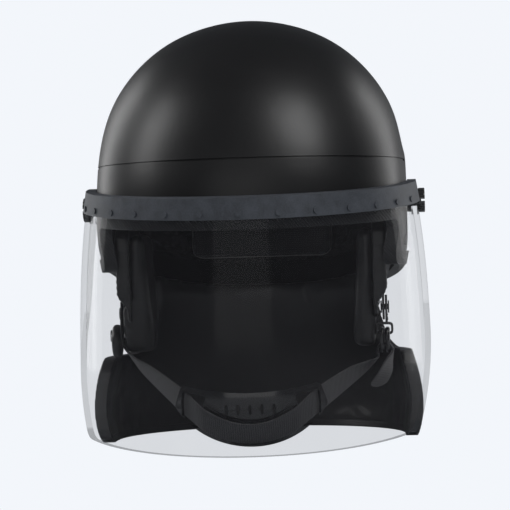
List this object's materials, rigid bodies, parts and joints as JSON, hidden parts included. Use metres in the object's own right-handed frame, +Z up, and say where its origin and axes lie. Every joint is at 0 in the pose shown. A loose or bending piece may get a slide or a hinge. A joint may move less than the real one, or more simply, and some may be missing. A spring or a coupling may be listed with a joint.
{
  "type": "riot helmet",
  "caption": "Padded public-order helmet: domed shell with edge trim, hinged full-face shield with rubber seal, fitted liner and pads, chin strap with cup, and neck guard.",
  "frame": {"origin": "middle of the head opening, on the helmet's plane of symmetry, 35 mm below the visor pivot axis", "axes": "+X towards the wearer's left, -Y forwards through the face shield, +Z up"},
  "size_m": [0.2418, 0.2782, 0.2924],
  "materials": {
    "shell": "satin black paint",
    "rubber": "matt dark rubber",
    "clear_shield": "clear polycarbonate",
    "steel": "dull steel",
    "nylon": "black nylon",
    "knob": "glossy black plastic",
    "dark_metal": "dark painted metal",
    "bright_metal": "bright plated metal",
    "gloss_black_metal": "glossy black enamel",
    "liner_foam": "dense black foam",
    "pad_cloth": "soft black knit",
    "leather": "soft black leather",
    "guard_leather": "smooth black coated leather",
    "cup_plastic": "glossy black plastic",
    "webbing": "ribbed black webbing"
  },
  "bodies": {
    "helmet": {"anchor_rivets": "dark_metal", "brow_pad": "pad_cloth", "cheek_pad_left": "leather", "cheek_pad_right": "leather", "crown_pad": "pad_cloth", "ear_flap_left": "leather", "ear_flap_right": "leather", "guard_binding": "guard_leather", "guard_snaps": "dark_metal", "harness_front_left": "webbing", "harness_front_right": "webbing", "harness_rear_left": "webbing", "harness_rear_right": "webbing", "harness_rivets": "dark_metal", "impact_liner": "liner_foam", "nape_pad": "pad_cloth", "neck_guard": "guard_leather", "pivot_spacer_left": "nylon", "pivot_spacer_right": "nylon", "pivot_stud_left": "steel", "pivot_stud_right": "steel", "rim_trim": "rubber", "shell": "shell", "side_pad_left": "pad_cloth", "side_pad_right": "pad_cloth"},
    "visor": {"face_shield": "clear_shield", "visor_seal": "rubber", "seal_rivets": "dark_metal", "pivot_washer_left": "nylon", "pivot_washer_right": "nylon"},
    "knob_left": {"pivot_knob_left": "knob"},
    "knob_right": {"pivot_knob_right": "knob"},
    "chin_harness": {"chin_strap": "webbing", "chin_cup": "cup_plastic", "strap_tail": "webbing", "ring_inner": "gloss_black_metal", "ring_outer": "gloss_black_metal", "ring_loop": "webbing", "strap_tab": "leather", "tab_snap": "bright_metal"}
  },
  "joints": [
    {"name": "visor_hinge", "type": "hinge", "parent": "helmet", "child": "visor", "pos_m": [0, 0, 0.035], "axis": [-1, 0, 0], "range_deg": [0, 70]},
    {"name": "knob_left_turn", "type": "hinge", "parent": "helmet", "child": "knob_left", "pos_m": [0.117, 0, 0.035], "axis": [1, 0, 0], "continuous": true},
    {"name": "knob_right_turn", "type": "hinge", "parent": "helmet", "child": "knob_right", "pos_m": [-0.117, 0, 0.035], "axis": [-1, 0, 0], "continuous": true},
    {"name": "chin_swing", "type": "hinge", "parent": "helmet", "child": "chin_harness", "pos_m": [0, -0.028, -0.038], "axis": [-1, 0, 0], "range_deg": [-15, 15]}
  ]
}
